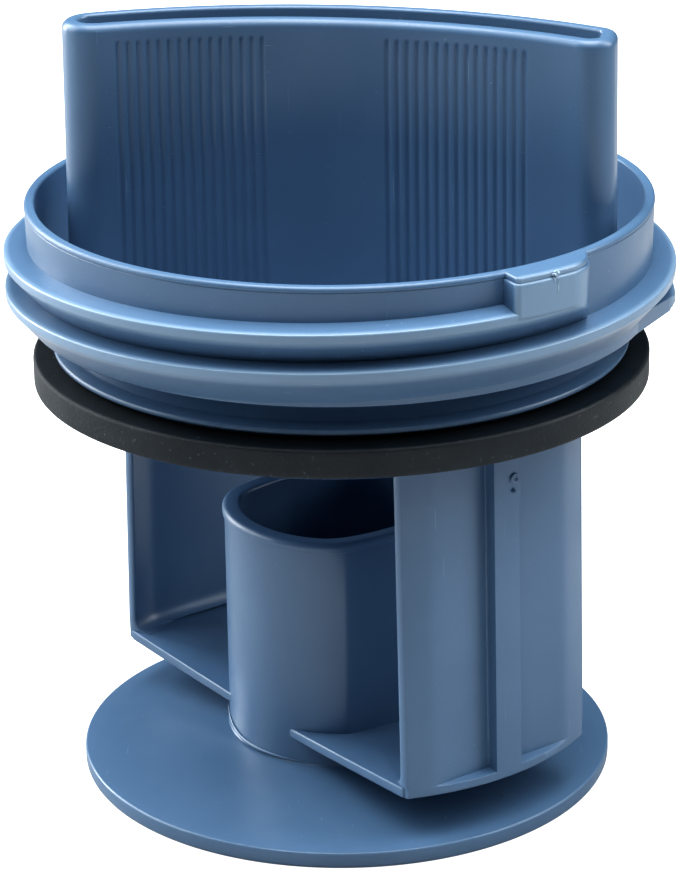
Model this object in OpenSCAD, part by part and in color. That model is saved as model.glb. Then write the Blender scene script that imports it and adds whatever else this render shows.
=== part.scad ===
// Washing machine lint filter: one blue moulding with a rubber seal ring.
// A base disc carries a short water tube and an open basket; the basket hangs
// from a screw cap with a buttress thread, a stop lug and a curved hollow grip.
// The Z axis is the thread's axis, the origin is the middle of the underside,
// and angles are measured from +X, turning towards +Y.

/* [Base disc] */
// Radius of the base disc
disc_r = 30.7; // [29:0.1:34]
// Thickness of the base disc
disc_t = 2; // [1.4:0.1:3]
// How far the disc rises from its flat rim to the tube
disc_rise = 2.2; // [0:0.1:3]
// Width of the flat ring that the disc stands on
disc_foot_w = 6; // [3:0.5:10]
// Radius of the disc's rounded edge
disc_edge = 0.5; // [0.2:0.05:0.65]

/* [Water tube] */
// Outer radius of the tube
tube_r = 13.7; // [12:0.1:15]
// Wall thickness of the tube
tube_wall = 1.9; // [1.2:0.1:2.4]
// Height of the tube's rim
tube_h = 31.4; // [18:0.1:36]
// Depth of the two shallow dents in the tube
dent_depth = 1.55; // [0.5:0.05:1.8]
// Angle between the two flats of each dent
dent_fold = 16; // [8:1:24]
// Height of the lip round the rim
lip_h = 1; // [0.6:0.1:2]
// How far the lip stands out of the tube
lip_out = 0.25; // [0.1:0.05:0.5]

/* [Basket] */
// Height of the basket, from the base to the cap
basket_h = 46.1; // [42:0.1:60]
// Direction in which the front opening faces
open_az = 216.5; // [200:0.1:240]
// Distance of the front opening's edge from the axis
front_cut = 12.4; // [9:0.1:15]
// Distance of the back opening's edge from the axis
back_cut = 13.3; // [10:0.1:24]
// Radius of the shelf
shelf_r = 30.1; // [27.5:0.1:30.6]
// Height of the shelf's underside at the tube
shelf_z = 7; // [5.4:0.05:9]
// Rise of the shelf from the tube to its edge
shelf_rise = 0.75; // [0:0.05:2.5]
// Thickness of the shelf
shelf_t = 1.15; // [0.8:0.05:2]
// Thickness of the two side walls
wall_t = 1.25; // [0.9:0.05:2]
// Draft of the side walls, in degrees
wall_draft = 1.3; // [0.5:0.1:2]
// Angle from the front opening's direction to the middle of either flat panel
flat_turn = 90; // [84:0.2:96]
// Angle that each flat panel spans
flat_span = 36; // [24:1:40]
// Width of the rib in the middle of each panel
rib_w = 3.7; // [1.6:0.1:5]

/* [Cap] */
// Radius of the flange under the seal
flange_r = 32; // [31.6:0.1:33.4]
// Thickness of the flange under the seal
flange_t = 1.15; // [0.8:0.05:2]
// Radius of the seal groove's floor
groove_r = 30.6; // [29.8:0.1:31]
// Height of the seal groove
groove_h = 3.95; // [3.6:0.05:5]
// Radius of the ring above the seal
upper_ring_r = 32.3; // [31.8:0.1:33.4]
// Thickness of the ring above the seal
upper_ring_t = 0.95; // [0.6:0.05:1.5]
// Radius of the neck under the collar
neck_r = 31.5; // [31.1:0.1:31.7]
// Height of the neck under the collar
neck_h = 3.05; // [2:0.05:5]
// Radius of the collar at its lower edge
collar_r = 34.5; // [34:0.1:35]
// Height of the collar
collar_h = 12.95; // [11:0.05:16]
// How much wider the collar is at its rim
collar_flare = 0.3; // [0:0.05:0.6]
// Wall thickness of the collar
collar_wall = 1.15; // [0.9:0.05:1.6]
// Radius of the collar's rounded rim
collar_edge = 0.4; // [0.2:0.05:0.44]
// Wall thickness of the cup behind the seal groove
cup_wall = 1.8; // [1.4:0.1:2.6]
// Thickness of the cup's floor
cup_floor = 2; // [1.4:0.1:3]

/* [Seal ring] */
// Outer radius of the seal
seal_r = 34.6; // [34:0.1:35.4]
// Height of the seal
seal_h = 3.3; // [2.4:0.05:3.5]
// Radius of the seal's rounded edges
seal_edge = 0.35; // [0.15:0.05:0.8]
// Play between the seal and the groove's floor
seal_play = 0.05; // [0.02:0.01:0.2]

/* [Thread] */
// Radius of the thread's crest
crest_r = 37.35; // [36:0.05:38.4]
// Width of the crest
crest_w = 0.95; // [0.6:0.05:1.4]
// Pitch of the right-handed thread
pitch = 4.1; // [3.6:0.05:4.6]
// Angle of the upper flank, from the horizontal
flank_up = 10; // [5:1:20]
// Angle of the lower flank, from the horizontal
flank_low = 49; // [40:1:55]
// Direction in which the thread starts, beside the lug
thread_az = 317.5; // [300:0.5:330]
// Angle through which the thread runs down from there
thread_turn = 700; // [560:1:712]
// Depth of the thread's start below the collar's rim
thread_drop = 3.65; // [2.6:0.05:4.4]
// Distance from the axis of the flat cut that ends the thread
run_out = 34.15; // [33.4:0.05:34.4]

/* [Stop lug] */
// Direction of the lug's square end
lug_az = 298.5; // [280:0.5:305]
// How far the lug stands out of the thread's crest
lug_proud = 0.06; // [0.04:0.02:0.4]
// Angle over which the lug keeps its full depth
lug_span = 12.5; // [6:0.5:20]
// Radius of the lug's rounded end, seen from above
lug_round = 5.7; // [4:0.1:8]

/* [Grip] */
// Height of the grip above the collar's rim
grip_h = 18.95; // [12:0.05:28]
// Turn of the grip about the axis
grip_turn = -10; // [-20:0.5:20]
// Distance from the axis to the grip's left end
grip_left = 30.3; // [26:0.1:31]
// Distance from the axis to the grip's right end
grip_right = 30.6; // [26:0.1:31]
// Radius of the grip's curve, on its outer face
grip_r = 61.3; // [48:0.1:70]
// Distance of the outer face from the axis
grip_face = 9; // [8:0.1:11]
// Thickness of the whole grip, across both walls
grip_w = 8.2; // [7.5:0.05:11]
// Thickness of the grip's walls
grip_wall = 1.75; // [1.4:0.05:2.2]
// Lean of the grip's ends, in degrees
grip_draft = 0.7; // [0:0.1:1.5]
// Radius of the grip's left corners, seen from above
corner_left = 3.6; // [2.5:0.1:3.8]
// Radius of the grip's right corners, seen from above
corner_right = 2.7; // [2.5:0.1:3.6]
// Radius on the outer edge of the grip's rim
grip_edge = 0.9; // [0.4:0.05:1]
// Radius on the inner edge of the grip's rim
grip_edge_in = 0.35; // [0.1:0.05:0.4]
// Number of grooves in each finger panel
groove_count = 15; // [6:1:17]
// Spacing of the finger grooves
groove_step = 1.13; // [0.9:0.01:1.3]
// Width of a finger groove
groove_w = 0.8; // [0.5:0.05:0.88]
// Depth of a finger groove
groove_depth = 0.25; // [0.1:0.05:0.4]
// Distance from the grip's middle to the left panel's nearest groove
panel_left = 8.4; // [5:0.1:9]
// Distance from the grip's middle to the right panel's nearest groove
panel_right = 5.4; // [5:0.1:9]
// Height of the plain band over the grooves
panel_top = 1.9; // [1:0.1:4]

/* [Hidden] */
$fn = 96;
blue = [0.38, 0.51, 0.65];
rubber = [0.16, 0.18, 0.19];
// How far one shape reaches into the next, so that they fuse
overlap = 0.4;
// Length that is larger than the part, for cutting shapes
big = 3 * crest_r;

seal_z = basket_h + flange_t;
groove_top = seal_z + groove_h;
neck_z = groove_top + upper_ring_t;
collar_z = neck_z + neck_h;
rim_z = collar_z + collar_h;
grip_top = rim_z + grip_h;
cup_r = groove_r - cup_wall;
step_t = collar_wall;
tube_in = tube_r - tube_wall;
floor_z = basket_h + cup_floor;

// The radius to which the thread's root reaches inside the collar's wall.
root_r = collar_r - overlap;
thread_z = rim_z - thread_drop;

// Circles that shape the grip: the outer face curves about outer_c, the inner
// face, which the fingers meet, about inner_c on the same side.
outer_c = grip_face - grip_r;
inner_r = grip_r - 0.9;
inner_c = grip_face - grip_w - inner_r;

// Points of an arc about [x, y], from angle a to angle b.
function arc(x, y, r, a, b, n = 5) =
    [for (i = [0:n]) let (t = a + (b - a) * i / n) [x + r * cos(t), y + r * sin(t)]];

// Base disc

module base_disc() {
    foot_r = disc_r - disc_foot_w;
    color(blue) rotate_extrude()
        polygon(concat(
            [[tube_in, disc_rise], [foot_r, 0]],
            arc(disc_r - disc_edge, disc_edge, disc_edge, -90, 0),
            arc(disc_r - disc_edge, disc_t - disc_edge, disc_edge, 0, 90),
            [[tube_in, disc_t + disc_rise]]));
}

// Water tube

// Section of the tube at radius r: a circle with two shallow dents, each made of
// two flats that meet at a blunt angle and face one of the side walls.
module tube_section(r) {
    flat = r - dent_depth;
    difference() {
        circle(r);
        for (side = [0, 180], s = [-1, 1])
            rotate(open_az + 90 + side + s * dent_fold / 2)
                translate([flat, -r]) square([r, 2 * r]);
    }
}

module water_tube() {
    color(blue) difference() {
        union() {
            translate([0, 0, disc_rise]) linear_extrude(tube_h - disc_rise - lip_out)
                tube_section(tube_r);
            translate([0, 0, tube_h - lip_h]) linear_extrude(lip_h - lip_out)
                tube_section(tube_r + lip_out);
            translate([0, 0, tube_h - lip_out - 0.1]) linear_extrude(lip_out + 0.1)
                tube_section(tube_r);
        }
        translate([0, 0, -1]) linear_extrude(tube_h + 2) tube_section(tube_in);
    }
}

// Basket

// Everything between the two parallel edges of the basket's openings. Local +X
// points out of the front opening.
module between_edges() {
    intersection() {
        rotate(open_az) translate([-back_cut, -big / 2, 0])
            cube([back_cut + front_cut, big, big]);
        union() children();
    }
}

module shelf() {
    in = tube_r - tube_wall / 2 - dent_depth / 2;
    rise = shelf_rise * (shelf_r - in) / (shelf_r - tube_r);
    difference() {
        rotate_extrude()
            polygon([[in, shelf_z], [shelf_r, shelf_z + rise],
                [shelf_r, shelf_z + rise + shelf_t], [in, shelf_z + shelf_t]]);
        translate([0, 0, -1]) linear_extrude(tube_h) tube_section(tube_r - tube_wall / 2);
    }
}

// Solid whose side is the face of both side walls, moved inwards by inset: a
// cone with a flat panel on either side. The draft leans every face alike.
module wall_core(inset, flats = true) {
    low = shelf_z;
    tall = basket_h - low + overlap;
    lean = tan(wall_draft);
    base = shelf_r - 0.05 - inset;
    panel = (shelf_r - 0.05) * cos(flat_span / 2) - inset;
    difference() {
        translate([0, 0, low]) cylinder(r1 = base, r2 = base - tall * lean, h = tall);
        if (flats)
            for (side = [1, -1])
                rotate(open_az + side * flat_turn) translate([panel, 0, low])
                    rotate([0, -wall_draft, 0]) translate([0, -big / 2, -5])
                        cube([big, big, tall + 10]);
    }
}

module side_walls() {
    low = shelf_z + shelf_rise + shelf_t / 2;
    difference() {
        union() {
            wall_core(0);
            intersection() {
                wall_core(0, false);
                for (side = [1, -1])
                    rotate(open_az + side * flat_turn) translate([0, -rib_w / 2, 0])
                        cube([big, rib_w, big]);
            }
        }
        wall_core(wall_t);
        cylinder(r = big, h = low);
    }
}

module basket() {
    color(blue) between_edges() {
        shelf();
        side_walls();
    }
}

// Cap

module cap() {
    top_r = collar_r + collar_flare;
    inner = top_r - collar_wall;
    color(blue) rotate_extrude()
        polygon(concat(
            [[0, basket_h], [flange_r, basket_h], [flange_r, seal_z], [groove_r, seal_z],
                [groove_r, groove_top], [upper_ring_r, groove_top], [upper_ring_r, neck_z],
                [neck_r, neck_z], [neck_r, collar_z], [collar_r, collar_z]],
            arc(top_r - collar_edge, rim_z - collar_edge, collar_edge, 0, 90),
            [[inner, rim_z], [inner, collar_z + step_t], [cup_r, collar_z + step_t],
                [cup_r, floor_z], [0, floor_z]]));
}

// Thread

// Section of the thread, s degrees below its start, as points [x, y, z]. The
// last degrees are cut off by an upright plane. Where the next turn lies below,
// the lower flank stops just above it.
function thread_section(s) =
    let (
        az = thread_az - s,
        z = thread_z - pitch * s / 360,
        up = tan(flank_up),
        low = tan(flank_low),
        last = s > thread_turn - 40,
        cut = run_out / max(0.5, cos(az - thread_az + thread_turn + 7)),
        r = last ? max(root_r + 0.05, min(crest_r, cut)) : crest_r,
        turn_below = s < thread_turn - 358,
        land = 0.12,
        meet = (pitch - crest_w - land) / (up + low),
        foot = turn_below ? max(crest_r - meet, root_r + 0.02) : root_r + 0.5,
        foot_r = min(foot, r - 0.02),
        z_flank = z - crest_w - (crest_r - foot_r) * low,
        z_root = turn_below ? z - pitch + land + (crest_r - root_r) * up
            : z - crest_w - (crest_r - root_r) * low,
        section = [[root_r, z + (crest_r - root_r) * up], [r, z + (crest_r - r) * up],
            [r, z - crest_w - (crest_r - r) * low], [foot_r, z_flank], [root_r, z_root]])
    [for (p = section) [p[0] * cos(az), p[0] * sin(az), p[1]]];

module thread() {
    steps = ceil(thread_turn / 5);
    rings = [for (i = [0:steps]) thread_section(thread_turn * i / steps)];
    points = [for (ring = rings, p = ring) p];
    sides = [for (i = [0:steps - 1], k = [0:4], half = [0, 1])
        let (a = i * 5 + k, b = i * 5 + (k + 1) % 5, c = a + 5, d = b + 5)
        half == 0 ? [a, b, d] : [a, d, c]];
    first = [for (k = [1:3]) [0, k + 1, k]];
    end = steps * 5;
    last = [for (k = [1:3]) [end, end + k, end + k + 1]];
    color(blue) intersection() {
        polyhedron(points, concat(sides, first, last));
        translate([0, 0, collar_z]) cylinder(r = big, h = collar_h);
    }
}

// Stop lug

// Plan of the lug: a sector just deeper than the thread, whose far end curves
// back into the collar.
module lug_plan() {
    r = crest_r + lug_proud;
    centre = r - lug_round;
    turn = lug_az + lug_span;
    bend = acos((root_r * root_r - centre * centre - lug_round * lug_round)
        / (2 * centre * lug_round));
    curve = arc(centre * cos(turn), centre * sin(turn), lug_round, turn, turn + bend, 8);
    end = atan2(curve[8][1], curve[8][0]) + 360;
    polygon(concat(arc(0, 0, r, lug_az, turn, 8), [for (i = [1:8]) curve[i]],
        arc(0, 0, root_r, end - 1, lug_az, 6)));
}

module lug() {
    low = thread_z - crest_w * 0.75;
    color(blue) translate([0, 0, low]) linear_extrude(rim_z - low) lug_plan();
}

// Grip

// Points of an arc, each with the outward direction there, as [x, y, dx, dy].
// side = -1 turns the directions round, for a face that is hollow.
function bend(x, y, r, a, b, n, side = 1) =
    [for (i = [0:n]) let (t = a + (b - a) * i / n)
        [x + r * cos(t), y + r * sin(t), side * cos(t), side * sin(t)]];

// Outline of the grip seen from above, anticlockwise from its right end: two
// long arcs, one bulging and one hollow, with a rounded corner at each end.
function grip_outline() =
    let (
        right = grip_right - corner_right,
        left = grip_left - corner_left,
        outer_y = function (x, c) outer_c + sqrt(pow(grip_r - c, 2) - x * x),
        inner_y = function (x, c) inner_c + sqrt(pow(inner_r + c, 2) - x * x),
        y1 = outer_y(right, corner_right),
        y2 = outer_y(left, corner_left),
        y3 = inner_y(left, corner_left),
        y4 = inner_y(right, corner_right),
        a1 = atan2(y1 - outer_c, right),
        a2 = atan2(y2 - outer_c, -left),
        a3 = atan2(y3 - inner_c, -left),
        a4 = atan2(y4 - inner_c, right),
        runs = [
            bend(right, y1, corner_right, 0, a1, 5),
            bend(0, outer_c, grip_r, a1, a2, 24),
            bend(-left, y2, corner_left, a2, 180, 5),
            bend(-left, y3, corner_left, 181, a3 + 180, 8),
            bend(0, inner_c, inner_r, a3, a4, 24, -1),
            bend(right, y4, corner_right, a4 - 180, -1, 8)])
    [for (k = [0:5], i = [0:len(runs[k]) - 1])
        if (i > 0 || k == 0 || k == 3) runs[k][i]];

// The grip's wall: its section, with a rim that is rounded more outside than
// inside, follows the outline all the way round. It leans out towards the cap.
module grip_shell() {
    low = floor_z - overlap;
    path = grip_outline();
    section = concat(
        [[grip_wall, low], [0, low]],
        arc(grip_edge, grip_top - grip_edge, grip_edge, 180, 90, 4),
        arc(grip_wall - grip_edge_in, grip_top - grip_edge_in, grip_edge_in, 90, 0, 2));
    n = len(path);
    m = len(section);
    points = [for (p = path, s = section)
        let (lean = 1 + (grip_top - s[1]) * tan(grip_draft) / grip_right)
        [(p[0] - p[2] * s[0]) * lean, p[1] - p[3] * s[0], s[1]]];
    faces = [for (i = [0:n - 1], k = [0:m - 1], half = [0, 1])
        let (j = (i + 1) % n, l = (k + 1) % m,
            a = i * m + k, b = i * m + l, c = j * m + k, d = j * m + l)
        half == 0 ? [a, b, d] : [a, d, c]];
    polyhedron(points, faces);
}

// Upright grooves for the fingers, in two panels on the hollow face.
module finger_grooves() {
    low = collar_z + step_t;
    cutter = (groove_w * groove_w / 4 + groove_depth * groove_depth) / (2 * groove_depth);
    for (side = [-1, 1], i = [0:groove_count - 1]) {
        from = side < 0 ? panel_left : panel_right;
        angle = 90 - side * asin((from + i * groove_step) / inner_r);
        translate([0, inner_c, low]) rotate(angle)
            translate([inner_r + groove_depth - cutter, 0, 0])
                cylinder(r = cutter, h = grip_top - panel_top - low, $fn = 32);
    }
}

module grip() {
    color(blue) intersection() {
        rotate(grip_turn) difference() {
            grip_shell();
            finger_grooves();
        }
        rotate_extrude() {
            square([cup_r + overlap, collar_z + step_t / 2]);
            translate([0, collar_z + step_t / 2]) square([collar_r - collar_wall, big]);
        }
    }
}

// Pieces

module filter_body() {
    base_disc();
    water_tube();
    basket();
    cap();
    thread();
    lug();
    grip();
}

module seal_ring() {
    inner = groove_r + seal_play;
    low = seal_z;
    high = seal_z + seal_h;
    color(rubber) rotate_extrude()
        polygon(concat(
            arc(inner + seal_edge, low + seal_edge, seal_edge, 180, 270),
            arc(seal_r - seal_edge, low + seal_edge, seal_edge, 270, 360),
            arc(seal_r - seal_edge, high - seal_edge, seal_edge, 0, 90),
            arc(inner + seal_edge, high - seal_edge, seal_edge, 90, 180)));
}

filter_body();
seal_ring();
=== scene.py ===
import math

import bmesh
import bpy
import numpy as np
from mathutils import Matrix, Vector


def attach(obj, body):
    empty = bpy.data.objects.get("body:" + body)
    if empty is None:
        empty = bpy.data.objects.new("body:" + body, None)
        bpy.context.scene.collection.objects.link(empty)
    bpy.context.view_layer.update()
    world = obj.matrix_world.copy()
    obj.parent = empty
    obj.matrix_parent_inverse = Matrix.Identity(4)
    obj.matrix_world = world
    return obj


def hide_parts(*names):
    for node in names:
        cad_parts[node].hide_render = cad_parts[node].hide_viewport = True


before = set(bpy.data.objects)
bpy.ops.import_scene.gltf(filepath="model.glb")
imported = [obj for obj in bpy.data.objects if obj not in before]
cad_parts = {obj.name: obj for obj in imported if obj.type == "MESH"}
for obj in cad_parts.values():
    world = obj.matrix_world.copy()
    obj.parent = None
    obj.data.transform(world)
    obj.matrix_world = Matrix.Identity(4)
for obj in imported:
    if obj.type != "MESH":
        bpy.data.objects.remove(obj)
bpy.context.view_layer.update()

mm = 0.001

print("filter: the packed frame is loaded")


# Shapes: all of them in millimetres until a mesh is made

# An outline with rounded corners. Each corner (x, y, radius) becomes an arc that
# touches both of its sides: the arc's centre lies on the corner's bisector, at
# radius / sin(half the corner's angle), and the arc turns by 180 degrees less
# that angle.
def roundedOutline(corners, steps=5):
    table = np.array(corners, float)
    spot, radius = table[:, :2], table[:, 2:3]
    back = np.roll(spot, 1, 0) - spot
    ahead = np.roll(spot, -1, 0) - spot
    back /= np.linalg.norm(back, axis=1, keepdims=True)
    ahead /= np.linalg.norm(ahead, axis=1, keepdims=True)
    half = 0.5 * np.arccos(np.clip((back * ahead).sum(1), -1, 1))[:, None]
    middle = back + ahead
    middle /= np.maximum(np.linalg.norm(middle, axis=1, keepdims=True), 1e-9)
    centre = spot + middle * radius / np.sin(half)
    start = spot + back * radius / np.tan(half) - centre
    side = np.sign(back[:, 1] * ahead[:, 0] - back[:, 0] * ahead[:, 1])[:, None]
    turn = np.arctan2(start[:, 1:2], start[:, 0:1])
    turn = turn + side * (math.pi - 2 * half) * np.linspace(0, 1, steps)
    x = centre[:, 0:1] + radius * np.cos(turn)
    y = centre[:, 1:2] + radius * np.sin(turn)
    return np.stack([x.ravel(), y.ravel()], 1)


# Extra points on the long stretches of a closed outline, so that no two
# neighbours lie further apart than reach.
def refined(outline, reach):
    parts = []
    for here, there in zip(outline, np.roll(outline, -1, 0)):
        count = max(1, int(math.ceil(np.linalg.norm(there - here) / reach)))
        parts.append(here + (there - here) * np.linspace(0, 1, count, endpoint=False)[:, None])
    return np.concatenate(parts)


# Outward unit normals of a closed path that runs anticlockwise: the tangent from
# each point's neighbours, turned clockwise by a right angle.
def pathNormals(path):
    run = np.roll(path, -1, 0) - np.roll(path, 1, 0)
    run /= np.maximum(np.linalg.norm(run, axis=1, keepdims=True), 1e-9)
    return np.stack([run[:, 1], -run[:, 0]], 1)


# A surface of revolution: outline (radius, height) swept round the Z axis.
def turnedGrid(outline, segments=360):
    angle = np.linspace(0, 2 * math.pi, segments, endpoint=False)[:, None]
    radius, height = outline[None, :, 0], outline[None, :, 1]
    return np.stack([radius * np.cos(angle), radius * np.sin(angle),
                     height + 0 * angle], 2)


# A mesh from a grid of points: every cell is a quad, a closed direction joins
# its last row to its first, and open ends get one flat face each.
def pieceFromGrid(name, grid, closedU=True, closedV=True, endFaces=False, creaseAngle=38):
    rows, columns = grid.shape[:2]
    index = np.arange(rows * columns).reshape(rows, columns)
    around = np.vstack([index, index[:1]]) if closedU else index
    around = np.hstack([around, around[:, :1]]) if closedV else around
    quads = np.stack([around[:-1, :-1], around[1:, :-1], around[1:, 1:], around[:-1, 1:]], -1)
    faces = quads.reshape(-1, 4).tolist()
    if endFaces:
        faces += [index[0].tolist(), index[-1][::-1].tolist()]
    mesh = bpy.data.meshes.new(name)
    mesh.from_pydata((grid.reshape(-1, 3) * mm).tolist(), [], faces)
    work = bmesh.new()
    work.from_mesh(mesh)
    bmesh.ops.remove_doubles(work, verts=work.verts, dist=2e-7)
    bmesh.ops.delete(work, geom=[e for e in work.edges if not e.link_faces], context="EDGES")
    bmesh.ops.recalc_face_normals(work, faces=work.faces)
    work.to_mesh(mesh)
    work.free()
    mesh.polygons.foreach_set("use_smooth", np.ones(len(mesh.polygons), bool))
    mesh.set_sharp_from_angle(angle=math.radians(creaseAngle))
    piece = bpy.data.objects.new(name, mesh)
    bpy.context.scene.collection.objects.link(piece)
    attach(piece, "root")
    return piece


# Base disc

disc = {
    "radius": 30.7,       # of the rim
    "thickness": 2.0,
    "rise": 2.2,          # of the top, from the rim to the tube
    "footWidth": 6.0,     # flat ring that the disc stands on
    "topEdge": 0.3,       # rounding of the rim
    "bottomEdge": 0.6,
    "inner": 12.4,        # hidden inside the tube's wall
}


# The disc is a ring of revolution with a slightly conical top and underside.
def makeBaseDisc(s):
    outline = roundedOutline([
        (s["inner"], s["rise"], 0), (s["radius"] - s["footWidth"], 0, 4),
        (s["radius"], 0, s["bottomEdge"]), (s["radius"], s["thickness"], s["topEdge"]),
        (s["inner"], s["thickness"] + s["rise"], 0)], 7)
    return pieceFromGrid("base_disc", turnedGrid(refined(outline, 3)))


# Water tube

tube = {
    "radius": 13.7,
    "wall": 1.9,
    "height": 31.4,
    "dentDepth": 1.55,    # of the two flats that make each dent
    "dentFold": 16.0,     # degrees between those flats
    "dentAngle": -53.5,   # degrees, direction of the dent on the right
    "lipOut": 0.25,       # how far the rim's lip stands proud
    "lipHeight": 1.05,    # from the rim down to the parting line
    "bottom": 1.6,
    "foot": 3.9,          # height at which the tube leaves the disc
    "flash": 0.15,        # width of the bead round the foot
    "soft": 0.1,          # how softly the flats run into the round part
    "softLip": 0.7,       # the same at the lip
}


# Distance of the dented tube's face from the axis: the soft least of the circle
# and of the flats, each a straight line at a fixed distance. The soft least of
# several values is -k * log(sum of exp(-value / k)).
def dentedRadius(angle, out, soft, s):
    total = np.exp(0 * angle * soft)
    for middle in (s["dentAngle"], s["dentAngle"] + 180):
        for half in (-0.5, 0.5):
            lean = np.cos(angle - math.radians(middle + half * s["dentFold"]))
            flat = (s["radius"] - s["dentDepth"] + out) / np.maximum(lean, 0.5)
            total = total + np.exp((s["radius"] + out - flat) / soft)
    return s["radius"] + out - soft * np.log(total)


# The wall's section (offset from the outer face, height) is carried round the
# dented circle.
def makeWaterTube(s):
    top, lip, low = s["height"], s["lipOut"], s["foot"]
    outline = roundedOutline([
        (-s["wall"], s["bottom"], 0), (0.3, s["bottom"], 0), (s["flash"], low - 0.05, 0.02),
        (s["flash"], low + 0.14, 0.05), (0.05, low + 0.2, 0.25), (0.0, low + 4, 2),
        (0.0, top - s["lipHeight"] - 0.12, 0.04), (lip, top - s["lipHeight"], 0.05),
        (lip, top, 0.62), (-s["wall"], top, 0.5)], 6)
    outline = refined(outline, 4)
    angle = np.linspace(0, 2 * math.pi, 900, endpoint=False)[:, None]
    high = np.clip((outline[:, 1] - top + 2.2) / 1.6, 0, 1)
    soft = s["soft"] + (s["softLip"] - s["soft"]) * high * high * (3 - 2 * high)
    reach = dentedRadius(angle, outline[None, :, 0], soft[None, :], s)
    grid = np.stack([reach * np.cos(angle), reach * np.sin(angle),
                     outline[None, :, 1] + 0 * angle], 2)
    return pieceFromGrid("water_tube", grid, creaseAngle=50)


# Thin skin of flash that stands up round the left of the tube's foot

flash = {
    "first": 184.0, "last": 248.0, "level": 218.0,   # degrees; level from there on
    "height": 4.35, "lift": 1.7,
    "proud": 0.16, "thick": 0.22, "tall": 0.26,
}


# The skin's section is an ellipse carried round the tube: it swells in the middle
# of its run and its centre climbs with the square of the way back to its start.
def makeFootFlash(s):
    degree = np.linspace(s["first"], s["last"], 100)[:, None]
    share = (degree - s["first"]) / (s["last"] - s["first"])
    swell = 0.2 + 0.8 * np.sin(math.pi * share) ** 1.5
    climb = np.clip((s["level"] - degree) / (s["level"] - s["first"]), 0, 1) ** 2
    turn = np.linspace(0, 2 * math.pi, 14, endpoint=False)[None, :]
    reach = tube["radius"] + s["proud"] + s["thick"] * swell * np.cos(turn)
    height = s["height"] + s["lift"] * climb + s["tall"] * swell * np.sin(turn)
    angle = np.radians(degree)
    grid = np.stack([reach * np.cos(angle), reach * np.sin(angle), height], 2)
    return pieceFromGrid("foot_flash", grid, closedU=False, endFaces=True)


# Basket: shelf and two side walls

basket = {
    "openAngle": 216.5,   # degrees, direction of the front opening
    "frontCut": 12.4,     # distance of the front edges from the axis
    "backCut": 13.3,      # distance of the back edges from the axis
    "shelfRadius": 30.1,
    "shelfInner": 11.9,   # hidden inside the tube's wall
    "shelfBottom": 7.0,  # at the tube
    "shelfSlope": 0.0457,
    "shelfThickness": 1.15,
    "shelfEdge": 0.3,     # rounding of the front and back edges
    "hiddenEdge": 29.5,   # where the shelf ends inside the walls
    "wallRadius": 30.1,
    "wallThickness": 1.25,
    "lean": 0.0227,       # draft of the walls
    "panelTurn": 90.0,    # degrees from the opening to the flat panel
    "panelSpan": 36.0,    # degrees
    "ribWidth": 3.7,
    "ribEdge": 0.22,      # width over which the rib's sides rise
    "wallLow": 7.75,      # the underside of the rim
    "lowEdge": 0.28,      # rounding under the rim
    "ledge": 8.85,        # height of the ledges under the flat panels
    "wallHigh": 46.6,
    "fillet": 1.9,        # between the shelf and the walls
}


# Height of the shelf's underside at a distance from the axis: a shallow cone.
def shelfHeight(radius, s):
    return s["shelfBottom"] + (radius - 13.7) * s["shelfSlope"]


# The shelf is a ring whose outer border is the least of a circle and of two
# straight cuts; its section (share of the width, offset, height) goes round it.
def makeShelf(s):
    angle = np.linspace(0, 2 * math.pi, 1440, endpoint=False)[:, None]
    lean = np.cos(angle - math.radians(s["openAngle"]))
    border = s["hiddenEdge"] + 0 * angle
    border = np.where(lean > 0.2, np.minimum(border, s["frontCut"] / np.maximum(lean, 0.2)), border)
    border = np.where(lean < -0.2, np.minimum(border, s["backCut"] / np.maximum(-lean, 0.2)), border)
    thick = s["shelfThickness"]
    edge = s["shelfEdge"]
    outline = roundedOutline([(0, 0, 0), (10, 0, edge), (10, thick, edge), (0, thick, 0)], 7)
    share = np.where(outline[:, 0] > 5, 1.0, 0.0)[None, :]
    offset = np.where(outline[:, 0] > 5, outline[:, 0] - 10, outline[:, 0])[None, :]
    radius = s["shelfInner"] + (border - s["shelfInner"]) * share + offset
    height = shelfHeight(radius, s) + outline[None, :, 1]
    grid = np.stack([radius * np.cos(angle), radius * np.sin(angle), height], 2)
    return pieceFromGrid("basket_shelf", grid)


# Distance of a side wall's outer face from the axis, at an angle from the
# opening: a circle, a flat panel across its middle and a rib that reaches the
# circle again.
def wallReach(angle, s):
    middle = math.radians(s["panelTurn"])
    flat = s["wallRadius"] * math.cos(math.radians(s["panelSpan"] / 2))
    flat = flat / np.cos(angle - middle)
    panel = -0.12 * np.log(np.exp(-(flat - 27) / 0.12) + np.exp(-(s["wallRadius"] - 27) / 0.12)) + 27
    across = np.abs(s["wallRadius"] * np.sin(angle - middle))
    rib = np.clip((s["ribWidth"] / 2 - across) / s["ribEdge"] + 0.5, 0, 1)
    rib = rib * rib * (3 - 2 * rib)
    return panel + (s["wallRadius"] - panel) * rib


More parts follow.
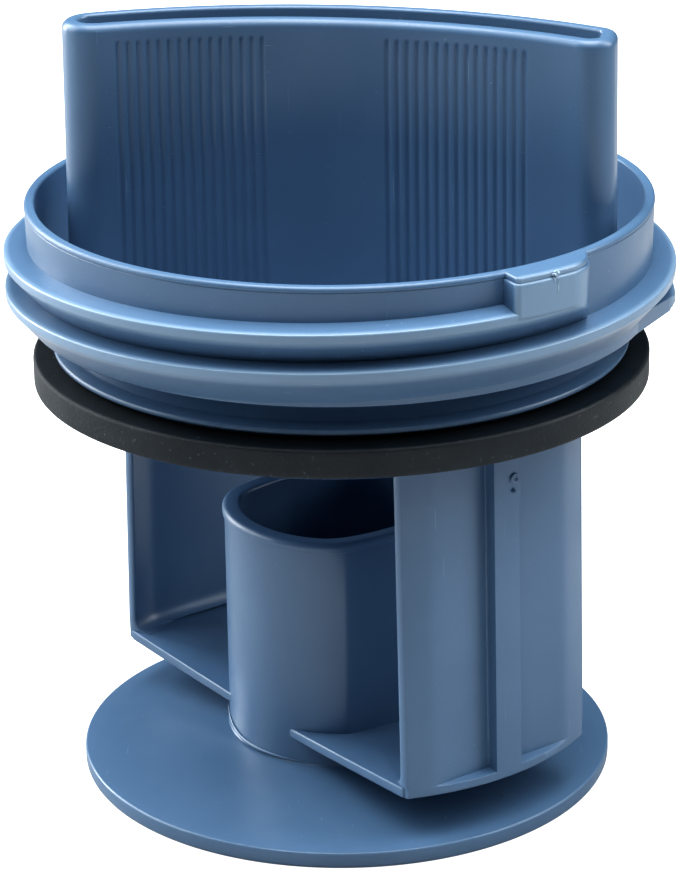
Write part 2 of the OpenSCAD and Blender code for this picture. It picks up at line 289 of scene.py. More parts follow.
# A side wall: a plan path (outer face, rounded end, inner face, rounded end) at
# each level, drawn inwards by the draft and by the rounding of the lower edge.
# Below the ledge the outer face is a plain circle. The inner face swings in to
# the shelf as a quarter circle, and the ends stay in the opening's planes.
def makeSideWall(name, side, s):
    turn = np.linspace(0, math.pi / 2, 6)
    level = np.concatenate([
        s["wallLow"] + s["lowEdge"] * (1 - np.cos(turn)), s["ledge"] + np.linspace(-0.1, 0.3, 9),
        s["ledge"] + s["fillet"] * np.linspace(0.2, 1.05, 14), np.linspace(11.4, s["wallHigh"], 22)])[:, None]
    round_ = np.concatenate([s["lowEdge"] * (1 - np.sin(turn)), np.zeros(len(level) - len(turn))])[:, None]
    drop = (level - 7.8) * s["lean"] + round_
    above = np.clip((level - s["ledge"] + 0.05) / s["fillet"], 0, 1)
    flare = s["fillet"] * (1 - np.sqrt(1 - (1 - above) ** 2))
    sunk = np.clip((level - s["ledge"] + 0.06) / 0.16, 0, 1)
    thin = s["wallThickness"]
    bulge = 0.42
    share = np.linspace(0, 1, 521)[None, :]

    # A face between both ends: the angles keep their places near the rib and
    # stretch near the ends, so that the ends meet the cuts at every level.
    def face(depth):
        first = np.arccos((s["frontCut"] - bulge) / (s["wallRadius"] - depth - drop))
        last = np.arccos(-(s["backCut"] - bulge) / (s["wallRadius"] - depth - drop))
        first0, last0 = first[:1], last[:1]
        angle = first0 + (last0 - first0) * share
        fade = np.clip(1 - share / 0.12, 0, 1)
        angle = angle + (first - first0) * fade + (last - last0) * np.clip(1 - (1 - share) / 0.12, 0, 1)
        shape = wallReach(angle, s) if depth == 0 else plainReach(angle, depth)
        shape = s["wallRadius"] - depth + (shape - s["wallRadius"] + depth) * sunk
        return angle, shape - drop

    # The inner face follows the flat panel, without the rib.
    def plainReach(angle, depth):
        bare = dict(s, ribWidth=-10.0)
        return wallReach(angle, bare) - depth

    outAngle, outReach = face(0)
    inAngle, inReach = face(thin)
    inReach = inReach - flare
    outer = np.stack([outReach * np.cos(outAngle), outReach * np.sin(outAngle)], 2)
    inner = np.stack([inReach * np.cos(inAngle), inReach * np.sin(inAngle)], 2)[:, ::-1]
    turn = np.linspace(0, math.pi, 11)[1:-1][None, :, None]
    mix = 0.5 - 0.5 * np.cos(turn)
    swell = bulge * np.sin(turn) ** 0.7 * np.array([1.0, 0.0])
    backEnd = outer[:, -1:] * (1 - mix) + inner[:, :1] * mix - swell
    frontEnd = inner[:, -1:] * (1 - mix) + outer[:, :1] * mix + swell
    path = np.concatenate([outer, backEnd, inner, frontEnd], 1)
    x, y = path[:, :, 0], side * path[:, :, 1]
    open_ = math.radians(s["openAngle"])
    grid = np.stack([x * math.cos(open_) - y * math.sin(open_),
                     x * math.sin(open_) + y * math.cos(open_), level + 0 * x], 2)
    return pieceFromGrid(name, grid, closedU=False, endFaces=True, creaseAngle=50)


# Cap

cap = {
    "bottom": 46.1, "floor": 2.0, "cupRadius": 28.8,
    "flangeRadius": 31.7, "flangeTop": 47.25,
    "grooveRadius": 30.6, "grooveTop": 51.2,
    "ringRadius": 32.3, "ringTop": 52.15,
    "neckRadius": 29.7, "neckHollow": 1.2, "collarBottom": 55.2,
    "collarRadius": 34.5, "rimRadius": 34.8, "rim": 68.15,
    "collarWall": 1.15, "parting": 67.5, "step": 1.15,
}


# The cap is a body of revolution; its outline runs from the axis under the cup,
# up the outside over the rim and back down inside to the cup's floor.
def makeCap(s):
    inner = s["rimRadius"] - s["collarWall"]
    outline = roundedOutline([
        (0, s["bottom"], 0), (s["flangeRadius"], s["bottom"], 0.4),
        (s["flangeRadius"], s["flangeTop"], 0.15), (s["grooveRadius"], s["flangeTop"], 0.15),
        (s["grooveRadius"], s["grooveTop"], 0.2), (s["ringRadius"], s["grooveTop"], 0.3),
        (s["ringRadius"], s["ringTop"] - 0.35, 0.35), (s["neckRadius"] + 1.3, s["ringTop"] + 0.25, 0.9),
        (s["neckRadius"], s["ringTop"] + 1.5, s["neckHollow"]),
        (s["neckRadius"], s["collarBottom"], 0.5), (s["collarRadius"], s["collarBottom"], 0.15),
        (s["rimRadius"] - 0.02, s["parting"] - 0.08, 0.05),
        (s["rimRadius"] - 0.09, s["parting"], 0.04),
        (s["rimRadius"] + 0.02, s["parting"] + 0.08, 0.06),
        (s["rimRadius"], s["rim"], 0.4), (inner, s["rim"], 0.3),
        (inner, s["collarBottom"] + s["step"], 0.7),
        (s["cupRadius"], s["collarBottom"] + s["step"], 0.5),
        (s["cupRadius"], s["bottom"] + s["floor"], 0.9),
        (0, s["bottom"] + s["floor"], 0)], 7)
    return pieceFromGrid("screw_cap", turnedGrid(refined(outline, 2.5), 540))


# Stop lug and thread

lug = {
    "radius": 37.4, "root": 33.95, "start": -61.5, "span": 10.9, "round": 5.7,
    "corner": 0.65, "bottom": 63.8, "top": 68.17, "parting": 67.5,
    "shoulder": 0.2,      # how far the part under the parting line stands proud
    "edge": 0.35,
}


thread = {
    "crest": 37.3, "root": 34.2, "crestWidth": 0.95, "pitch": 4.1,
    "upperFlank": 10.0, "lowerFlank": 49.0,   # degrees from the horizontal
    "startAngle": -42.5, "turn": 700.0, "startHeight": 64.5,
    "floor": 55.21,                            # the collar's lower edge
    "cut": 34.15, "cutAngle": -29.5,           # upright cut that ends the thread
    "crestEdge": 0.22,
}


# The thread's section goes down a helix: at s degrees below the start its height
# falls by pitch * s / 360. Its end is cut by an upright plane, which limits the
# radius to cut / cos(angle to the plane's normal), and its foot by the collar's
# lower edge, which limits the height. It starts inside the lug: there the lug's
# round end, a circle at a known distance from the axis, limits the radius.
def makeThread(s):
    upper = math.tan(math.radians(s["upperFlank"]))
    lower = math.tan(math.radians(s["lowerFlank"]))
    depth = s["crest"] - s["root"]
    section = roundedOutline([
        (s["root"], depth * upper, 0), (s["root"], -s["crestWidth"] - depth * lower, 0),
        (s["crest"], -s["crestWidth"], s["crestEdge"] * 1.3),
        (s["crest"], 0, s["crestEdge"])], 6)
    section = refined(section, 0.35)
    down = np.linspace(0, s["turn"], 701)[:, None]
    angle = np.radians(s["startAngle"] - down)
    near = down > s["turn"] - 40
    lean = np.maximum(np.cos(angle - math.radians(s["cutAngle"])), 0.5)
    radius = np.where(near, np.minimum(section[None, :, 0], s["cut"] / lean), section[None, :, 0])
    past = angle - math.radians(lug["start"] + lug["span"])
    reach = lug["radius"] - lug["round"]
    roundEnd = reach * np.cos(past) + np.sqrt(np.maximum(lug["round"] ** 2 - (reach * np.sin(past)) ** 2, 0))
    roundEnd = np.maximum(roundEnd, s["root"])
    radius = np.where((past > 0) & (down < 30), np.minimum(radius, roundEnd), radius)
    height = s["startHeight"] - s["pitch"] * down / 360 + section[None, :, 1]
    height = np.maximum(height, s["floor"])
    grid = np.stack([radius * np.cos(angle), radius * np.sin(angle), height], 2)
    return pieceFromGrid("thread", grid, closedU=False, endFaces=True, creaseAngle=45)


# Stop lug: its plan, anticlockwise: the left face, its rounded corner, an arc at full
# depth, a rounded end that turns back into the collar, and the hidden inner arc.
# Each level moves the plan in along its normals; the inner arc stays where it is.
def makeLug(s):
    start, turn = math.radians(s["start"]), math.radians(s["start"] + s["span"])
    ray = np.array([math.cos(start), math.sin(start)])
    side = np.array([-ray[1], ray[0]])
    reach, corner = s["radius"] - s["round"], s["corner"]
    bend = math.acos((s["root"] ** 2 - reach ** 2 - s["round"] ** 2) / (2 * reach * s["round"]))
    leftFace = ray * np.linspace(s["root"] + 0.1, s["radius"] - corner, 12)[:, None]
    swing = np.linspace(0, math.pi / 2, 9)[1:, None]
    cornerArc = (ray * (s["radius"] - corner + corner * np.sin(swing))
                 + side * corner * (1 - np.cos(swing)))
    outerAngle = np.linspace(start + corner / s["radius"], turn, 40)[1:]
    roundAngle = turn + np.linspace(0, bend, 40)[1:]
    outer = s["radius"] * np.stack([np.cos(outerAngle), np.sin(outerAngle)], 1)
    centre = reach * np.array([math.cos(turn), math.sin(turn)])
    rounded = centre + s["round"] * np.stack([np.cos(roundAngle), np.sin(roundAngle)], 1)
    last = math.atan2(rounded[-1, 1], rounded[-1, 0])
    innerAngle = np.linspace(last - 0.01, start + 0.002, 16)
    inner = s["root"] * np.stack([np.cos(innerAngle), np.sin(innerAngle)], 1)
    path = np.concatenate([leftFace, cornerArc, outer, rounded, inner])
    normal = pathNormals(path)
    free = np.clip((np.linalg.norm(path, axis=1) - s["root"] - 0.15) / 0.4, 0, 1)
    arc = np.linspace(0, math.pi / 2, 7)
    offset = np.concatenate([s["shoulder"] * np.array([0, 0, 0.12, 0.45, 1.15, 1.15, 1, 1]),
                             s["shoulder"] + s["edge"] * (1 - np.cos(arc))])
    level = np.concatenate([[s["bottom"]], s["parting"] + np.array([-0.6, -0.2, -0.08, -0.02, 0.03, 0.09, 0.2]),
                            s["top"] - s["edge"] * (1 - np.sin(arc))])
    plan = path[None] - normal[None] * (offset[:, None] * free[None, :])[:, :, None]
    grid = np.concatenate([plan, np.broadcast_to(level[:, None, None], plan.shape[:2] + (1,))], 2)
    return pieceFromGrid("stop_lug", grid, closedU=False, endFaces=True, creaseAngle=50)


# Grip

grip = {
    "top": 87.1, "low": 47.5, "turn": -10.0,
    "left": 30.3, "right": 30.6, "cornerLeft": 3.6, "cornerRight": 2.7,
    "outerRadius": 61.3, "outerFace": 9.0, "width": 8.2, "innerRadius": 60.4,
    "wall": 1.75, "edge": 0.9, "edgeIn": 0.4, "lean": 0.0122,
    "grooves": 15, "grooveStep": 1.13, "grooveWidth": 0.8, "grooveDepth": 0.2,
    "panelLeft": 8.4, "panelRight": 5.4, "panelTop": 1.9,
    "stepHeight": 55.8, "cupReach": 29.2,
}


# Outline of the grip seen from above, anticlockwise from its right end: arcs
# about five centres that touch one another. Gives points, outward normals and,
# for the hollow face, the distance along it from the grip's middle.
def gripPath(s):
    outerY = s["outerFace"] - s["outerRadius"]
    innerY = s["outerFace"] - s["width"] - s["innerRadius"]
    right, left = s["right"] - s["cornerRight"], s["left"] - s["cornerLeft"]
    y1 = outerY + math.sqrt((s["outerRadius"] - s["cornerRight"]) ** 2 - right ** 2)
    y2 = outerY + math.sqrt((s["outerRadius"] - s["cornerLeft"]) ** 2 - left ** 2)
    y3 = innerY + math.sqrt((s["innerRadius"] + s["cornerLeft"]) ** 2 - left ** 2)
    y4 = innerY + math.sqrt((s["innerRadius"] + s["cornerRight"]) ** 2 - right ** 2)
    a1, a2 = math.atan2(y1 - outerY, right), math.atan2(y2 - outerY, -left)
    a3, a4 = math.atan2(y3 - innerY, -left), math.atan2(y4 - innerY, right)
    runs = [
        (right, y1, s["cornerRight"], 0, a1, 14, 1),
        (0, outerY, s["outerRadius"], a1, a2, 90, 1),
        (-left, y2, s["cornerLeft"], a2, math.pi, 14, 1),
        (-left, y3, s["cornerLeft"], math.pi + 0.02, a3 + math.pi, 20, 1),
        (0, innerY, s["innerRadius"], a3, a4, 640, -1),
        (right, y4, s["cornerRight"], a4 - math.pi, -0.02, 20, 1)]
    points, normals, along = [], [], []
    for x, y, radius, first, last, count, side in runs:
        angle = np.linspace(first, last, count, endpoint=False)
        ray = np.stack([np.cos(angle), np.sin(angle)], 1)
        points.append(np.array([x, y]) + radius * ray)
        normals.append(side * ray)
        along.append(radius * (math.pi / 2 - angle) if side < 0 else np.full(count, 1e3))
    return np.concatenate(points), np.concatenate(normals), np.concatenate(along)


# Depth of the finger grooves at a distance along the hollow face: round-bottomed
# channels at even steps, in one panel on either side of a plain middle.
def grooveDepth(along, s):
    depth = 0 * along
    for side, first in ((-1, s["panelLeft"]), (1, s["panelRight"])):
        place = (side * along - first) / s["grooveStep"]
        number = np.clip(np.round(place), 0, s["grooves"] - 1)
        off = np.abs(place - number) * s["grooveStep"] / (s["grooveWidth"] / 2)
        depth = np.maximum(depth, s["grooveDepth"] * np.clip(1 - off ** 2, 0, 1) ** 2)
    return depth


# The grip's wall: its section (inset, height) is carried round the outline, out
# and over the rim and down inside. The grooves sink into the hollow face below
# the plain band, the ends lean out, and under the collar's step the wall stays
# within the cup.
def makeGrip(s):
    path, normal, along = gripPath(s)
    bend = np.linspace(0, math.pi / 2, 9)
    upOuter = np.array([s["low"], 55.3, 56.2, 61, 67, 73, 79, 83])
    upOuter = np.concatenate([upOuter, s["top"] - s["panelTop"] + np.array([-0.5, -0.2, 0.05, 0.3])])
    level = np.concatenate([
        upOuter, s["top"] - s["edge"] * (1 - np.sin(bend)),
        s["top"] - s["edgeIn"] * (1 - np.cos(bend)), np.linspace(85, s["low"], 8)])
    inset = np.concatenate([
        0 * upOuter, s["edge"] * (1 - np.cos(bend)),
        s["wall"] - s["edgeIn"] * (1 - np.sin(bend)), np.full(8, s["wall"])])
    below = np.clip((s["top"] - s["panelTop"] - level) / 0.45, 0, 1) * (inset < 0.01)
    sink = inset[None, :] + grooveDepth(along, s)[:, None] * below[None, :]
    plan = path[:, None, :] - normal[:, None, :] * sink[:, :, None]
    plan[:, :, 0] *= 1 + (s["top"] - level)[None, :] * s["lean"] / s["right"]
    reach = np.linalg.norm(plan, axis=2)
    inCup = (level < s["stepHeight"])[None, :]
    plan *= np.where(inCup, np.minimum(1, s["cupReach"] / reach), 1)[:, :, None]
    turn = math.radians(s["turn"])
    x, y = plan[:, :, 0], plan[:, :, 1]
    grid = np.stack([x * math.cos(turn) - y * math.sin(turn),
                     x * math.sin(turn) + y * math.cos(turn), level[None, :] + 0 * x], 2)
    return pieceFromGrid("grip", grid, creaseAngle=50)


# Seal ring

seal = {"radius": 34.6, "inner": 30.65, "bottom": 47.26, "top": 50.55, "edge": 0.42}


# The seal is a ring of revolution whose outer wall waves very slightly, as soft
# rubber does: two slow waves of a few hundredths of a millimetre.
def makeSeal(s):
    outline = roundedOutline([
        (s["inner"], s["bottom"], 0.35), (s["radius"], s["bottom"], s["edge"]),
        (s["radius"], s["top"], s["edge"]), (s["inner"], s["top"], 0.35)], 7)
    grid = turnedGrid(refined(outline, 0.6), 480)
    angle = np.linspace(0, 2 * math.pi, 480, endpoint=False)
    wave = 1 - 0.0006 * (1 + 0.5 * np.sin(3 * angle + 1) + 0.5 * np.sin(7 * angle))
    grid[:, :, :2] *= wave[:, None, None]
    return pieceFromGrid("seal_ring_rubber", grid)


# Small marks of the moulding and of use

# name, angle in degrees, distance from the axis, height, radius of the mark
gateMarks = [("gate_mark", 308.4, 29.31, 42.7, 0.6), ("gate_dent", 308.2, 29.34, 41.3, 0.28)]


# A gate mark is a low ring with a dimple: a profile (radius, height) turned about
# the direction that points out of the wall.
def makeGateMark(name, degree, reach, height, size):
    profile = np.array([(0, 0.06), (0.3, 0.04), (0.5, 0.08), (0.66, 0.2), (0.8, 0.23),
                        (0.93, 0.14), (1.0, -0.05), (0.9, -0.3), (0, -0.3)])
    turn = np.linspace(0, 2 * math.pi, 36, endpoint=False)[:, None]
    ray = math.radians(degree)
    out = np.array([math.cos(ray), math.sin(ray), 0.0])
    along = np.array([-math.sin(ray), math.cos(ray), 0.0])
    up = np.array([0.0, 0.0, 1.0])
    across = profile[None, :, 0:1] * size
    grid = (reach * out + height * up + across * np.cos(turn)[:, :, None] * along
            + across * np.sin(turn)[:, :, None] * up + profile[None, :, 1:2] * out)
    return pieceFromGrid(name, grid)


# name, centre, half length with its direction, half width, half height, roughness
scars = [
    ("lug_nick", (21.95, -30.15, 67.85), 0.42, (0.8, 0.6, 0.1), 0.26, 0.3, 0.5),
    ("lug_nick_tail", (22.2, -30.06, 66.4), 0.85, (0.02, 0.02, 1.0), 0.09, 0.1, 0.3),
    ("lug_nick_drop", (21.75, -30.35, 67.3), 0.28, (0.3, 0.2, -1.0), 0.12, 0.14, 0.3),
    ("disc_scratch", (17.4, -18.75, 2.93), 0.62, (0.65, -0.76, 0.0), 0.05, 0.05, 0.1),
]


# A scar is an ellipsoid along its direction whose radius waves with both angles.
def makeScar(name, centre, length, direction, wide, tall, rough):
    ahead = np.array(direction) / np.linalg.norm(direction)
    upright = np.array([0.0, 0.0, 1.0]) if abs(ahead[2]) < 0.9 else np.array([0.8, -0.6, 0.0])
    side = np.cross(upright, ahead)
    side /= np.linalg.norm(side)
    up = np.cross(ahead, side)
    lat = np.linspace(0, math.pi, 15)[None, :]
    lon = np.linspace(0, 2 * math.pi, 24, endpoint=False)[:, None]
    wave = 1 + rough * (np.sin(3 * lon + 1) * np.sin(5 * lat) + 0.5 * np.sin(5 * lon) * np.sin(3 * lat)) * np.sin(lat)
    grid = (np.array(centre) + (length * np.cos(lat) * wave)[:, :, None] * ahead
            + (wide * np.sin(lat) * np.cos(lon) * wave)[:, :, None] * side
            + (tall * np.sin(lat) * np.sin(lon) * wave)[:, :, None] * up)
    return pieceFromGrid(name, grid, closedV=False)


bodyPieces = [
    makeBaseDisc(disc), makeWaterTube(tube), makeShelf(basket),
    makeSideWall("basket_wall_right", 1, basket), makeSideWall("basket_wall_left", -1, basket),
    makeCap(cap), makeThread(thread), makeLug(lug), makeGrip(grip), makeFootFlash(flash)]
bodyPieces += [makeGateMark(*mark) for mark in gateMarks]
scarPieces = [makeScar(*scar) for scar in scars]
sealPiece = makeSeal(seal)
print("filter: the pieces are made")

for piece in bodyPieces + scarPieces:
    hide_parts("filter_body")
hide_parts("seal_ring")


# Materials

# Adds a node, sets its plain inputs and joins the linked ones.
def addNode(tree, kind, inputs=None, **settings):
    node = tree.nodes.new(kind)
    for key, value in settings.items():
        setattr(node, key, value)
    for key, value in (inputs or {}).items():
        if isinstance(value, bpy.types.NodeSocket):
            tree.links.new(value, node.inputs[key])
        else:
            node.inputs[key].default_value = value
    return node


# A node group with the named inputs (socket type, value) and outputs.
def newGroup(name, inputs, outputs):
    group = bpy.data.node_groups.new(name, "ShaderNodeTree")
    for key, (kind, value) in inputs.items():
        socket = group.interface.new_socket(key, in_out="INPUT", socket_type=kind)
        if value is not None:
            socket.default_value = value
    for key, kind in outputs.items():
        group.interface.new_socket(key, in_out="OUTPUT", socket_type=kind)
    return group, group.nodes.new("NodeGroupInput"), group.nodes.new("NodeGroupOutput")


# Noise that is stretched between two limits to a mask from 0 to 1.
def noiseMask(tree, vector, scale, low, high, detail=3.0):
    noise = addNode(tree, "ShaderNodeTexNoise", {"Vector": vector, "Scale": scale, "Detail": detail})
    return addNode(tree, "ShaderNodeMapRange",
                   {"Value": noise.outputs["Fac"], "From Min": low, "From Max": high},
                   interpolation_type="SMOOTHSTEP").outputs["Result"]


# Points of a stretched cell pattern that lie within reach of a cell's middle: thin
# straight marks where one direction is drawn out, round specks where none is.
# Each cell's random colour decides how strong its mark is.
def cellMarks(tree, vector, turn, stretch, reach, rare):
    place = addNode(tree, "ShaderNodeMapping", {"Vector": vector, "Rotation": turn, "Scale": stretch})
    cells = addNode(tree, "ShaderNodeTexVoronoi", {"Vector": place.outputs["Vector"], "Scale": 1.0})
    near = addNode(tree, "ShaderNodeMapRange", {
        "Value": cells.outputs["Distance"], "From Min": reach, "From Max": reach * 0.3})
    random = addNode(tree, "ShaderNodeSeparateColor", {"Color": cells.outputs["Color"]})
    strong = addNode(tree, "ShaderNodeMapRange", {
        "Value": random.outputs["Red"], "From Min": rare, "From Max": 1.0})
    return addNode(tree, "ShaderNodeMath", {0: near.outputs["Result"], 1: strong.outputs["Result"]},
                   operation="MULTIPLY").outputs[0]


# Handling marks: fine scratches in three directions and small specks.
def makeWearGroup():
    group, source, result = newGroup("handlingMarks", {
        "Vector": ("NodeSocketVector", None), "Amount": ("NodeSocketFloat", 1.0)},
        {"Scratches": "NodeSocketFloat", "Spots": "NodeSocketFloat", "Height": "NodeSocketFloat"})
    vector, both = source.outputs["Vector"], 0.0
    for turn, stretch in (((0.4, 0.2, 0.7), (30, 1500, 1500)), ((-0.5, 0.9, -0.6), (1300, 45, 1300)),
                          ((0.8, -0.3, 0.2), (1400, 1400, 38))):
        line = cellMarks(group, vector, turn, stretch, 0.085, 0.3)
        both = addNode(group, "ShaderNodeMath", {0: line, 1: both}, operation="MAXIMUM").outputs[0]
    marks = addNode(group, "ShaderNodeMath", {0: both, 1: source.outputs["Amount"]},
                    operation="MULTIPLY")
    spots = cellMarks(group, vector, (0, 0, 0), (420, 420, 420), 0.07, 0.5)
    spots = addNode(group, "ShaderNodeMath", {0: spots, 1: source.outputs["Amount"]},
                    operation="MULTIPLY")
    height = addNode(group, "ShaderNodeMath", {0: marks.outputs[0], 1: -1.0}, operation="MULTIPLY")
    group.links.new(marks.outputs[0], result.inputs["Scratches"])
    group.links.new(spots.outputs[0], result.inputs["Spots"])
    group.links.new(height.outputs[0], result.inputs["Height"])
    return group


# Surface of a moulding: slow patches of tone, flow streaks along the height, and
# a very fine grain.
def makeMouldGroup():
    group, source, result = newGroup("mouldSurface", {
        "Vector": ("NodeSocketVector", None)},
        {"Patches": "NodeSocketFloat", "Streaks": "NodeSocketFloat", "Grain": "NodeSocketFloat"})
    vector = source.outputs["Vector"]
    group.links.new(noiseMask(group, vector, 55.0, 0.35, 0.68), result.inputs["Patches"])
    along = addNode(group, "ShaderNodeMapping", {"Vector": vector, "Scale": (260, 260, 28)})
    streaks = noiseMask(group, along.outputs["Vector"], 1.0, 0.35, 0.7, 2.0)
    group.links.new(streaks, result.inputs["Streaks"])
    group.links.new(noiseMask(group, vector, 2600.0, 0.2, 0.8, 4.0), result.inputs["Grain"])
    return group


# Painted highlight on the outermost faces, the thread's crests: a mask that rises with the
# distance from the axis between two radii, broken up by noise.
def makePaintedCrestHighlight():
    group, source, result = newGroup("crestPaintedHighlight", {
        "Vector": ("NodeSocketVector", None), "Start": ("NodeSocketFloat", 0.0365),
        "Full": ("NodeSocketFloat", 0.0372)}, {"Mask": "NodeSocketFloat"})
    flat = addNode(group, "ShaderNodeVectorMath", {0: source.outputs["Vector"], 1: (1, 1, 0)},
                   operation="MULTIPLY")
    reach = addNode(group, "ShaderNodeVectorMath", {0: flat.outputs["Vector"]}, operation="LENGTH")
    edge = addNode(group, "ShaderNodeMapRange", {
        "Value": reach.outputs["Value"], "From Min": source.outputs["Start"],
        "From Max": source.outputs["Full"]}, interpolation_type="SMOOTHSTEP")
    patchy = noiseMask(group, source.outputs["Vector"], 90.0, 0.0, 0.42)
    mask = addNode(group, "ShaderNodeMath", {0: edge.outputs["Result"], 1: patchy}, operation="MULTIPLY")
    group.links.new(mask.outputs[0], result.inputs["Mask"])
    return group


wearGroup = makeWearGroup()
paintedCrestGroup = makePaintedCrestHighlight()
mouldGroup = makeMouldGroup()


def newMaterial(name):
    material = bpy.data.materials.new(name)
    material.use_nodes = True
    tree = material.node_tree
    tree.nodes.clear()
    shader = tree.nodes.new("ShaderNodeBsdfPrincipled")
    output = tree.nodes.new("ShaderNodeOutputMaterial")
    tree.links.new(shader.outputs["BSDF"], output.inputs["Surface"])
    return material, tree, shader


# Mixes two colours by a mask.
def mixColours(tree, mask, first, second):
    node = tree.nodes.new("ShaderNodeMix")
    node.data_type = "RGBA"
    for key, value in ((0, mask), (6, first), (7, second)):
        if isinstance(value, bpy.types.NodeSocket):
            tree.links.new(value, node.inputs[key])
        else:
            node.inputs[key].default_value = value
    return node.outputs[2]


def scaledMask(tree, mask, share):
    return addNode(tree, "ShaderNodeMath", {0: mask, 1: share}, operation="MULTIPLY").outputs[0]


bluePlastic = {
    "colour": (0.105, 0.188, 0.303, 1),
    "darker": (0.091, 0.168, 0.276, 1),
    "scuffed": (0.34, 0.47, 0.60, 1),
    "crestHighlightShare": 0.4,    # how far the painted highlight on the crests goes towards the scuffed colour
    "roughLow": 0.30, "roughHigh": 0.42,
}


def makeBluePlastic(name, wear, s, crest=False):
    material, tree, shader = newMaterial(name)
    place = tree.nodes.new("ShaderNodeTexCoord").outputs["Object"]
    mould = addNode(tree, "ShaderNodeGroup", node_tree=mouldGroup)
    marks = addNode(tree, "ShaderNodeGroup", node_tree=wearGroup)
    marks.inputs["Amount"].default_value = wear
    for group in (mould, marks):
        tree.links.new(place, group.inputs["Vector"])
    colour = mixColours(tree, mould.outputs["Patches"], s["colour"], s["darker"])
    streaks = scaledMask(tree, mould.outputs["Streaks"], 0.25)
    colour = mixColours(tree, streaks, colour, s["darker"])
    colour = mixColours(tree, scaledMask(tree, marks.outputs["Scratches"], 0.5), colour, s["scuffed"])
    colour = mixColours(tree, scaledMask(tree, marks.outputs["Spots"], 0.4), colour, s["scuffed"])
    if crest:
        # The crests are painted lighter: a painted highlight that stands in for the light on the thread's outermost
        # faces.
        crestLit = addNode(tree, "ShaderNodeGroup", {"Vector": place}, node_tree=paintedCrestGroup)
        colour = mixColours(tree, scaledMask(tree, crestLit.outputs["Mask"], s["crestHighlightShare"]), colour, s["scuffed"])
    rough = addNode(tree, "ShaderNodeMapRange", {
        "Value": mould.outputs["Patches"], "To Min": s["roughLow"], "To Max": s["roughHigh"]})
    height = addNode(tree, "ShaderNodeMath", {
        0: scaledMask(tree, mould.outputs["Grain"], 0.35), 1: marks.outputs["Height"]}, operation="ADD")
    bump = addNode(tree, "ShaderNodeBump", {
        "Height": height.outputs[0], "Strength": 0.25, "Distance": 0.00004})
    tree.links.new(colour, shader.inputs["Base Color"])
    tree.links.new(rough.outputs["Result"], shader.inputs["Roughness"])
    tree.links.new(bump.outputs["Normal"], shader.inputs["Normal"])
    shader.inputs["IOR"].default_value = 1.58
    return material


blackRubber = {
    "colour": (0.010, 0.018, 0.025, 1),
    "dust": (0.11, 0.14, 0.16, 1),
    "roughLow": 0.5, "roughHigh": 0.72,
}


def makeBlackRubber(s):
    material, tree, shader = newMaterial("blackRubber")
    place = tree.nodes.new("ShaderNodeTexCoord").outputs["Object"]
    mould = addNode(tree, "ShaderNodeGroup", node_tree=mouldGroup)
    marks = addNode(tree, "ShaderNodeGroup", node_tree=wearGroup)
    marks.inputs["Amount"].default_value = 1.0
    for group in (mould, marks):
        tree.links.new(place, group.inputs["Vector"])
    specks = noiseMask(tree, place, 1700.0, 0.66, 0.78, 2.0)
    film = scaledMask(tree, noiseMask(tree, place, 160.0, 0.45, 0.75), 0.06)
    colour = mixColours(tree, film, s["colour"], s["dust"])
    colour = mixColours(tree, scaledMask(tree, specks, 0.55), colour, s["dust"])
    colour = mixColours(tree, scaledMask(tree, marks.outputs["Scratches"], 0.5), colour, s["dust"])
    rough = addNode(tree, "ShaderNodeMapRange", {
        "Value": mould.outputs["Patches"], "To Min": s["roughLow"], "To Max": s["roughHigh"]})
    bump = addNode(tree, "ShaderNodeBump", {
        "Height": mould.outputs["Grain"], "Strength": 0.5, "Distance": 0.00005})
    tree.links.new(colour, shader.inputs["Base Color"])
    tree.links.new(rough.outputs["Result"], shader.inputs["Roughness"])
    tree.links.new(bump.outputs["Normal"], shader.inputs["Normal"])
    return material


plainBlue = makeBluePlastic("bluePlastic", 0.7, bluePlastic)
handledBlue = makeBluePlastic("bluePlasticHandled", 1.0, bluePlastic)
threadBlue = makeBluePlastic("bluePlasticThread", 1.0, bluePlastic, crest=True)
scarBlue = makeBluePlastic("bluePlasticScar", 1.0, dict(
    bluePlastic, colour=bluePlastic["scuffed"], darker=(0.22, 0.34, 0.47, 1)))
for piece in bodyPieces:
    handled = piece.name in ("grip", "screw_cap", "base_disc")
    threaded = piece.name in ("thread", "stop_lug")
    piece.data.materials.append(threadBlue if threaded else handledBlue if handled else plainBlue)
for piece in scarPieces:
    piece.data.materials.append(scarBlue)
sealPiece.data.materials.append(makeBlackRubber(blackRubber))
print("filter: the materials are made")


# Floor, light and camera

studio = {
    "floorSize": 0.8,
    "floorColour": (0.45, 0.45, 0.45, 1),
    "floorGlow": 0.7,     # added for the camera alone
    "fill": 0.0,          # strength of the room's even light
}

# name, size across, size down, place, energy
lights = [
    ("topLight", 0.9, 0.9, (0.0, 0.0, 1.0), 13.5),
    ("topFrontLight", 0.9, 0.5, (0.0, -0.65, 0.85), 1.7),
    ("leftBackLight", 0.4, 0.9, (-0.75, 0.5, 0.35), 8.6),
    ("leftHighLight", 0.5, 0.9, (-0.85, 0.0, 0.6), 4.6),
    ("leftSideLight", 0.3, 0.6, (-0.95, -0.1, 0.12), 0.8),
    ("rightHighLight", 0.5, 0.9, (0.85, 0.0, 0.6), 6.2),
]


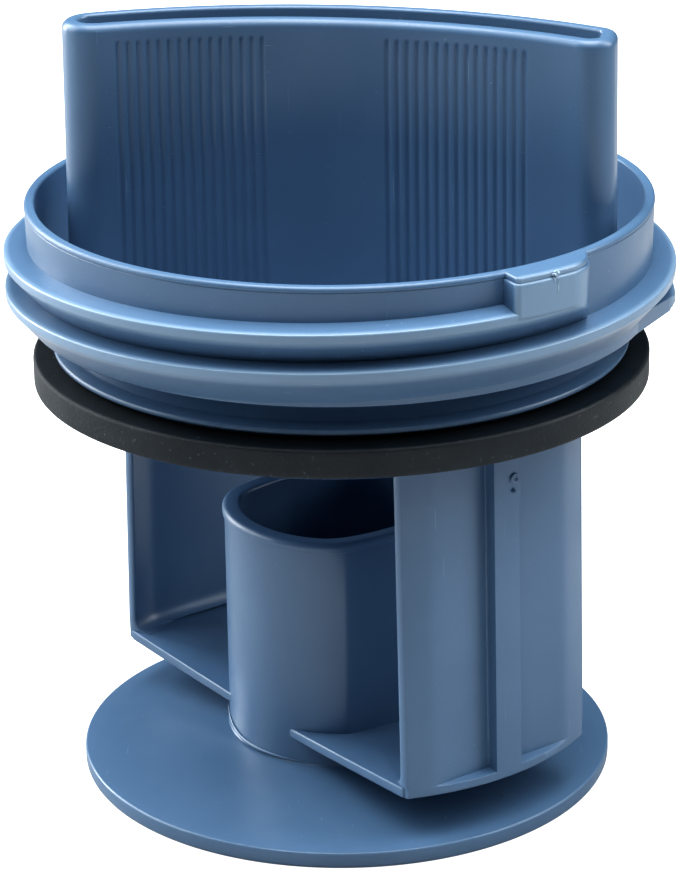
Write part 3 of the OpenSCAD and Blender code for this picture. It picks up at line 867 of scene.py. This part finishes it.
# A sheet of paper under the object; beyond it, all is white to the camera alone.
def makeFloor(s):
    half = s["floorSize"] / 2
    mesh = bpy.data.meshes.new("floor")
    mesh.from_pydata([(-half, -half, 0), (half, -half, 0), (half, half, 0), (-half, half, 0)],
                     [], [(0, 1, 2, 3)])
    floor = bpy.data.objects.new("floor", mesh)
    bpy.context.scene.collection.objects.link(floor)
    material, tree, shader = newMaterial("paleFloor")
    shader.inputs["Base Color"].default_value = s["floorColour"]
    shader.inputs["Roughness"].default_value = 0.9
    shader.inputs["Specular IOR Level"].default_value = 0.0
    shader.inputs["Emission Color"].default_value = (1, 1, 1, 1)
    seen = tree.nodes.new("ShaderNodeLightPath").outputs["Is Camera Ray"]
    tree.links.new(scaledMask(tree, seen, s["floorGlow"]), shader.inputs["Emission Strength"])
    mesh.materials.append(material)


# A white room for the camera, and a faint even light for everything else.
def makeWorld(s):
    world = bpy.data.worlds.new("studioWorld")
    world.use_nodes = True
    tree = world.node_tree
    back = tree.nodes["Background"]
    back.inputs["Color"].default_value = (1, 1, 1, 1)
    seen = tree.nodes.new("ShaderNodeLightPath").outputs["Is Camera Ray"]
    strength = addNode(tree, "ShaderNodeMapRange", {"Value": seen, "To Min": s["fill"], "To Max": 1.0})
    tree.links.new(strength.outputs["Result"], back.inputs["Strength"])
    bpy.context.scene.world = world


# A soft box that faces the middle of the object.
def makeLight(name, wide, tall, place, energy):
    data = bpy.data.lights.new(name, "AREA")
    data.shape, data.size, data.size_y, data.energy = "RECTANGLE", wide, tall, energy
    light = bpy.data.objects.new(name, data)
    aim = np.array([0, 0, 0.045]) - np.array(place)
    light.location = place
    light.rotation_mode = "QUATERNION"
    light.rotation_quaternion = Vector(aim).to_track_quat("-Z", "Y")
    bpy.context.scene.collection.objects.link(light)


camera = {
    "place": (0.0, -0.3416, 0.1682),   # metres
    "pitch": 20.7, "yaw": -0.05, "roll": -0.82,   # degrees
    "focalPixels": 3208.0, "frameHeight": 871.0,
    "sensor": 36.0,
}


# The camera looks along -Z of its own frame: yaw turns it from +Y towards +X,
# pitch turns it down from the horizontal, roll turns it about the line of sight.
def makeCamera(s):
    data = bpy.data.cameras.new("camera")
    data.sensor_width = s["sensor"]
    data.lens = s["focalPixels"] * s["sensor"] / s["frameHeight"]
    data.clip_start, data.clip_end = 0.01, 10
    pitch, yaw, roll = (math.radians(s[key]) for key in ("pitch", "yaw", "roll"))
    ahead = np.array([math.sin(yaw) * math.cos(pitch), math.cos(yaw) * math.cos(pitch), -math.sin(pitch)])
    right = np.array([math.cos(yaw), -math.sin(yaw), 0])
    up = np.cross(right, ahead)
    across = math.cos(roll) * right + math.sin(roll) * up
    upright = -math.sin(roll) * right + math.cos(roll) * up
    view = Matrix(np.stack([across, upright, -ahead], 1).tolist()).to_4x4()
    view.translation = s["place"]
    eye = bpy.data.objects.new("camera", data)
    eye.matrix_world = view
    bpy.context.scene.collection.objects.link(eye)
    bpy.context.scene.camera = eye


makeFloor(studio)
makeWorld(studio)
for light in lights:
    makeLight(*light)
makeCamera(camera)
bpy.context.scene.view_settings.view_transform = "Standard"
bpy.context.scene.view_settings.look = "High Contrast"
print("filter: floor, light and camera are set")
